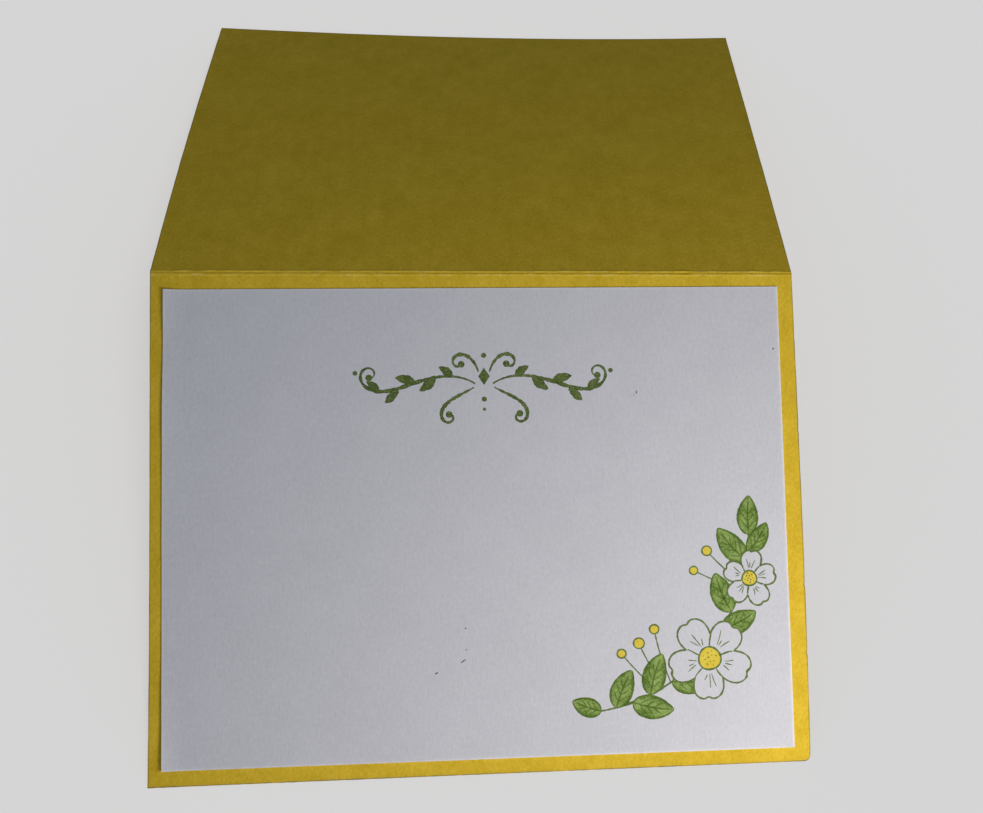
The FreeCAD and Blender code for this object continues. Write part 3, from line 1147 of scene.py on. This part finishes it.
@dataclass
class CornerSpray:
    """A generic spray near the panel's lower right corner: an arched twig, small leaves, two blossoms, berries."""

    panel: WhitePanel
    stroke: float = 0.19
    twig: Twig = Twig((24.5, -95.6), 8.0, (80.0,), 54.0, (
        (0.00, 158.0, 6.5, 1.9, -14.0),
        (0.06, 62.0, 8.5, 2.3, -18.0),
        (0.13, -40.0, 9.0, 2.4, 20.0),
        (0.21, 56.0, 9.0, 2.4, -18.0),
        (0.31, -42.0, 9.0, 2.4, 22.0),
        (0.595, -40.0, 8.5, 2.3, 20.0),
        (0.68, 58.0, 9.0, 2.4, -18.0),
        (0.89, 60.0, 9.5, 2.4, -18.0),
        (0.93, -40.0, 7.6, 1.9, 26.0),
        (1.00, 6.0, 8.5, 2.2, -12.0),
    ))
    blossoms: tuple[Blossom, ...] = (
        Blossom((48.3, -85.2), 9.0, 15.0, seed=51),
        Blossom((57.6, -68.2), 6.0, 47.0, seed=61),
    )
    berries: tuple[tuple[float, float, float, float], ...] = (
        (0.27, 33.0, -81.5, 1.15),
        (0.24, 29.2, -83.6, 0.95),
        (0.30, 36.4, -78.6, 1.0),
        (0.80, 48.4, -62.0, 1.05),
        (0.77, 45.4, -66.2, 0.9),
    )

    def build(self, leaf_ink: bpy.types.Material, vein_ink: bpy.types.Material, line_ink: bpy.types.Material,
              heart_ink: bpy.types.Material, white: bpy.types.Material) -> list[bpy.types.Object]:
        """Builds the spray's pieces, one for each ink.

        Args:
            leaf_ink: Ink of the blades.
            vein_ink: Ink of the blades' outlines and veins.
            line_ink: Ink of the stalks and of the petals' outlines.
            heart_ink: Ink of the hearts and berries.
            white: The panel's own finish, for the petals.

        Returns:
            The pieces.
        """
        blades = Print(self.panel, "spray_leaves")
        veins = Print(self.panel, "spray_veins")
        lines = Print(self.panel, "spray_lines")
        hearts = Print(self.panel, "spray_hearts")
        petals = Print(self.panel, "spray_petals")
        lines.line(self.twig.line(), 1.5 * self.stroke, Level.STEM, 0.5)
        for leaf in self.twig.grown():
            leaf.draw(blades, veins, self.stroke)
        for share, across, up, radius in self.berries:
            self.draw_berry(share, np.array([across, up]), radius, hearts, lines)
        for blossom in self.blossoms:
            blossom.draw(petals, lines, hearts, self.stroke)
        made = [blades.build(leaf_ink), veins.build(vein_ink), lines.build(line_ink), hearts.build(heart_ink)]
        petals_piece = petals.skin.piece(petals.name, Slot.WHITE, white, smooth=False)
        return [*made, petals_piece]

    def draw_berry(self, share: float, centre: Array, radius: float, hearts: Print, lines: Print) -> None:
        """Adds a berry on a bowed stalk from a share of the twig's way."""
        twig = self.twig.line()
        foot = twig[round(share * (len(twig) - 1))]
        way = np.linspace(0, 1, 30)[:, None]
        stalk = foot + (centre - foot) * way + np.array([-1.6, 0.4]) * way * (1 - way)
        lines.line(stalk, 0.8 * self.stroke, Level.STEM, 0.7)
        hearts.add(disc(centre, radius, 0.94, 30.0), Level.HEART)
        angle = np.linspace(0, 2 * np.pi, 60, endpoint=False)
        ring = centre + radius * np.stack([np.cos(angle), 0.97 * np.sin(angle)], -1)
        lines.line(ring, 0.8 * self.stroke, Level.DOT, closed=True)


@dataclass
class Flourish:
    """A plain ornament near the panel's top: mirrored scrolls with small leaves, a lozenge and dots between them."""

    panel: WhitePanel
    middle: tuple[float, float] = (0.8, -23.6)
    stroke: float = 0.42
    vines: tuple[Twig, ...] = (
        Twig((1.9, -1.0), 34.0, (-218.8, 211.0, 0.0, 0.0, 0.0, 352.0), 33.5, (
            (0.16, 44.0, 3.6, 0.85, -25.0),
            (0.27, -44.0, 4.4, 1.0, 25.0),
            (0.40, 46.0, 4.4, 1.0, -25.0),
            (0.52, -46.0, 4.0, 0.95, 25.0),
            (0.64, 48.0, 3.4, 0.8, -25.0),
        )),
        Twig((2.2, -1.8), -30.0, (30.0, -50.0, -60.0, -260.0), 15.0),
        Twig((1.2, 1.6), 74.0, (-70.0, -20.0, -230.0), 11.0),
    )
    dots: tuple[tuple[float, float, float], ...] = (
        (0.0, 5.2, 0.55),
        (0.0, -4.4, 0.55),
        (0.0, -6.6, 0.35),
        (27.6, 1.6, 0.5),
    )

    def build(self, ink: bpy.types.Material) -> bpy.types.Object:
        """Builds the ornament as one piece.

        Args:
            ink: The dark green ink.

        Returns:
            The piece.
        """
        made = Print(self.panel, "flourish")
        for vine in self.vines:
            line = vine.line()
            share = np.linspace(0, 1, len(line))
            swell = self.stroke * (0.35 + 0.65 * np.sin(np.pi * share) ** 1.2)
            swell = swell * (1 + 0.14 * Grain(43, 0.5, 2.5).at(line[:, 0], line[:, 1]))
            self.add_pair(made, ribbon(line, swell, 4), Level.STEM)
            for leaf in vine.grown():
                spine = leaf.spine()
                widths = leaf.widths(np.linspace(0, 1, len(spine)))
                widths = widths * (1 + 0.08 * Grain(44, 0.5, 2.5).at(spine[:, 0], spine[:, 1]))
                self.add_pair(made, ribbon(spine, widths, 6), Level.BLADE)
            self.add_pair(made, disc(line[-1], 1.7 * self.stroke), Level.VEIN)
        for across, up, radius in self.dots:
            patch = disc(np.array([across, up]), radius)
            if across:
                self.add_pair(made, patch, Level.VEIN)
            else:
                made.add(np.array(self.middle) + patch, Level.VEIN)
        right, up = np.meshgrid(np.linspace(-1, 1, 9), np.linspace(-1, 1, 9))
        lozenge = np.stack([(right - up) * 0.62, (right + up) * 0.95], -1)
        made.add(np.array(self.middle) + np.array([0.0, 0.6]) + lozenge, Level.BLADE)
        return made.build(ink)

    def add_pair(self, made: Print, patch: Array, level: Level) -> None:
        """Adds a patch placed about the ornament's middle, and its mirror image with its columns turned round."""
        middle = np.array(self.middle)
        made.add(middle + patch, level)
        made.add(middle + (patch * np.array([-1.0, 1.0]))[:, ::-1], level)


@dataclass
class Flecks:
    """Stray specks on the panel's face: short dashes and dots, each with its place, heading, length and width."""

    panel: WhitePanel
    marks: tuple[tuple[float, float, float, float, float], ...] = (
        (-4.25, -77.2, 10.0, 0.40, 0.13),
        (-4.10, -81.8, 35.0, 0.40, 0.09),
        (-5.15, -84.4, 30.0, 1.25, 0.12),
        (-10.65, -86.6, 25.0, 0.75, 0.14),
        (64.60, -17.8, 40.0, 0.45, 0.16),
        # The two marks near 34 mm across paint the shade side of a small dent as dark specks.
        (33.90, -27.3, 75.0, 0.70, 0.13),
        (33.50, -27.5, 200.0, 0.30, 0.08),
    )

    def build(self, ink: bpy.types.Material) -> bpy.types.Object:
        """Builds the specks as one piece.

        Args:
            ink: The dark speck colour.

        Returns:
            The piece.
        """
        made = Print(self.panel, "flecks")
        for across, up, heading, length, width in self.marks:
            line = walk((across, up), heading, (30.0, -40.0), length, 12)
            share = np.linspace(0, 1, len(line))
            half_width = width * (0.4 + 0.6 * np.sin(np.pi * share))
            made.add(ribbon(line, half_width, 2), Level.STEM)
        return made.build(ink)


# Studio


@dataclass(frozen=True)
class Viewpoint:
    """The camera at the photograph's place: metres, degrees, and pixels of the photograph's frame."""

    place: tuple[float, float, float] = (0.00455, -0.14932, 0.26511)
    turn: tuple[float, float, float] = (24.702, -4.152, -3.096)
    focal_pixels: float = 1224.8
    centre_column: float = 611.4
    centre_row: float = 457.4
    sensor_width: float = 36.0

    def make(self) -> bpy.types.Object:
        """Makes the scene's camera, whose lens shift keeps the photograph's own middle.

        Returns:
            The camera.
        """
        lens = bpy.data.cameras.new("camera")
        lens.sensor_width = self.sensor_width
        lens.lens = self.focal_pixels / IMAGE_WIDTH * self.sensor_width
        lens.shift_x = (IMAGE_WIDTH / 2 - self.centre_column) / IMAGE_WIDTH
        lens.shift_y = (self.centre_row - IMAGE_HEIGHT / 2) / IMAGE_WIDTH
        lens.clip_start = 0.01
        lens.clip_end = 10.0
        camera = bpy.data.objects.new("camera", lens)
        camera.location = self.place
        camera.rotation_euler = [math.radians(angle) for angle in self.turn]
        bpy.context.scene.collection.objects.link(camera)
        bpy.context.scene.camera = camera
        return camera


@dataclass(frozen=True)
class Studio:
    """A plain pale floor, a small soft lamp low at the right for the card, and an even weak sky."""

    key_place: tuple[float, float, float] = (0.1185, -0.1885, 0.1480)
    key_power: float = 1.18
    key_colour: Colour = (1.0, 0.940, 0.900)
    key_radius: float = 0.055
    sky: Colour = (0.158, 0.181, 0.216)
    sky_slope: float = 0.48
    floor_size: float = 6.0
    floor_grey: float = 0.5
    floor_lit: float = 0.14
    sun_turn: tuple[float, float, float] = (18.0, 14.0, 0.0)
    sun_spread: float = 32.0

    def make_floor(self) -> bpy.types.Object:
        """Makes the floor just under the card: it shows the background's grey, less the card's soft shadow.

        Its grey takes the sky and its own sun, and a glow that only the background's rays see adds the rest.

        Returns:
            The floor.
        """
        half = self.floor_size / 2
        mesh = bpy.data.meshes.new("floor")
        low = -0.02 * MM
        mesh.from_pydata([(-half, -half, low), (half, -half, low), (half, half, low), (-half, half, low)], [],
                         [(0, 1, 2, 3)])
        made, paint = Paint.material("pale_floor")
        grey = paint.node("ShaderNodeBsdfDiffuse", {}, {"Color": (*[self.floor_grey] * 3, 1.0)})
        glow = tuple(BACKGROUND - self.floor_lit - self.floor_grey * share for share in self.sky)
        glow_node = paint.node("ShaderNodeEmission", {}, {"Color": (*glow, 1.0)})
        shown = paint.node("ShaderNodeAddShader", {}, {0: grey, 1: glow_node})
        mixed = paint.node("ShaderNodeMixShader", {}, {0: paint.seen(), 1: grey, 2: shown})
        paint.node("ShaderNodeOutputMaterial", {}, {"Surface": mixed})
        mesh.materials.append(made)
        floor = bpy.data.objects.new("floor", mesh)
        bpy.context.scene.collection.objects.link(floor)
        return floor

    def make_sky(self) -> None:
        """Makes the even light from all sides, which shows as the background's grey."""
        world = bpy.data.worlds.new("studio")
        world.use_nodes = True
        paint = Paint(world.node_tree)
        towards = paint.node("ShaderNodeTexCoord", {}, {}, "Generated")
        share = 0.5 - 0.5 * paint.part(towards, 1)
        behind, before = (tuple(level * (1 + side * self.sky_slope) for level in self.sky) for side in (-1, 1))
        fill = paint.node("ShaderNodeBackground", {}, {"Color": paint.blend(share, behind, before)})
        shown = paint.node("ShaderNodeBackground", {}, {"Color": (*[BACKGROUND] * 3, 1.0)})
        mixed = paint.node("ShaderNodeMixShader", {}, {0: paint.seen(), 1: fill, 2: shown})
        paint.node("ShaderNodeOutputWorld", {}, {"Surface": mixed})
        bpy.context.scene.world = world

    def make_lamps(self, card: Sequence[bpy.types.Object], floor: bpy.types.Object) -> None:
        """Makes the lamp that lights the card and the soft sun that lights the floor alone.

        Args:
            card: The card's pieces.
            floor: The floor.
        """
        key = bpy.data.lights.new("key_lamp", "POINT")
        key.energy = self.key_power
        key.color = self.key_colour
        key.shadow_soft_size = self.key_radius
        sun = bpy.data.lights.new("floor_sun", "SUN")
        slope = math.cos(math.radians(self.sun_turn[0])) * math.cos(math.radians(self.sun_turn[1]))
        sun.energy = math.pi * self.floor_lit / (self.floor_grey * slope)
        sun.angle = math.radians(self.sun_spread)
        for light, place, turn, receivers in ((key, self.key_place, (0, 0, 0), card),
                                              (sun, (0.3, -0.3, 1.0), self.sun_turn, [floor])):
            lamp = bpy.data.objects.new(light.name, light)
            lamp.location = place
            lamp.rotation_euler = [math.radians(angle) for angle in turn]
            lamp.visible_camera = False
            bpy.context.scene.collection.objects.link(lamp)
            lit = bpy.data.collections.new(f"lit_by_{light.name}")
            for receiver in receivers:
                lit.objects.link(receiver)
            lamp.light_linking.receiver_collection = lit


def make_card() -> list[bpy.types.Object]:
    """Builds every piece of the card, the sheet first, then the panel and its print.

    Returns:
        The pieces.
    """
    low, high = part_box("card_base")
    sheet = CardSheet(width=(high.x - low.x) / MM)
    log.info("tilt of the printed half: %.3f degrees", math.degrees(sheet.tilt))
    yellow = YellowCard().make()
    white = WhiteCard().make()
    leaf_ink = StampInk("leaf_ink", (0.090, 0.175, 0.010), (0.34, 0.47, 0.125), margin=0.8, missed=0.6).make()
    vein_ink = StampInk("vein_ink", (0.060, 0.120, 0.012), (0.14, 0.23, 0.036)).make()
    line_ink = StampInk("line_ink", (0.090, 0.150, 0.034), (0.19, 0.26, 0.085)).make()
    heart_ink = StampInk("heart_ink", (0.76, 0.55, 0.030), (0.88, 0.71, 0.10)).make()
    dark_ink = StampInk("dark_ink", (0.056, 0.095, 0.016), (0.16, 0.215, 0.055), margin=0.6, missed=0.5).make()
    speck_ink = StampInk("speck_ink", (0.06, 0.06, 0.065), (0.20, 0.20, 0.21)).make()
    folded = FoldedSheet(sheet)
    panel = WhitePanel(folded)
    return [
        folded.build(yellow),
        panel.build(white),
        Flourish(panel).build(dark_ink),
        *CornerSpray(panel).build(leaf_ink, vein_ink, line_ink, heart_ink, white),
        Flecks(panel).build(speck_ink),
    ]


def main() -> None:
    """Builds the camera, the card and the studio."""
    logging.basicConfig(level=logging.INFO, format="%(name)s: %(message)s")
    bpy.context.scene.view_settings.view_transform = "Standard"
    Viewpoint().make()
    card = make_card()
    studio = Studio()
    floor = studio.make_floor()
    studio.make_sky()
    studio.make_lamps(card, floor)


if __name__ == "__main__":
    main()
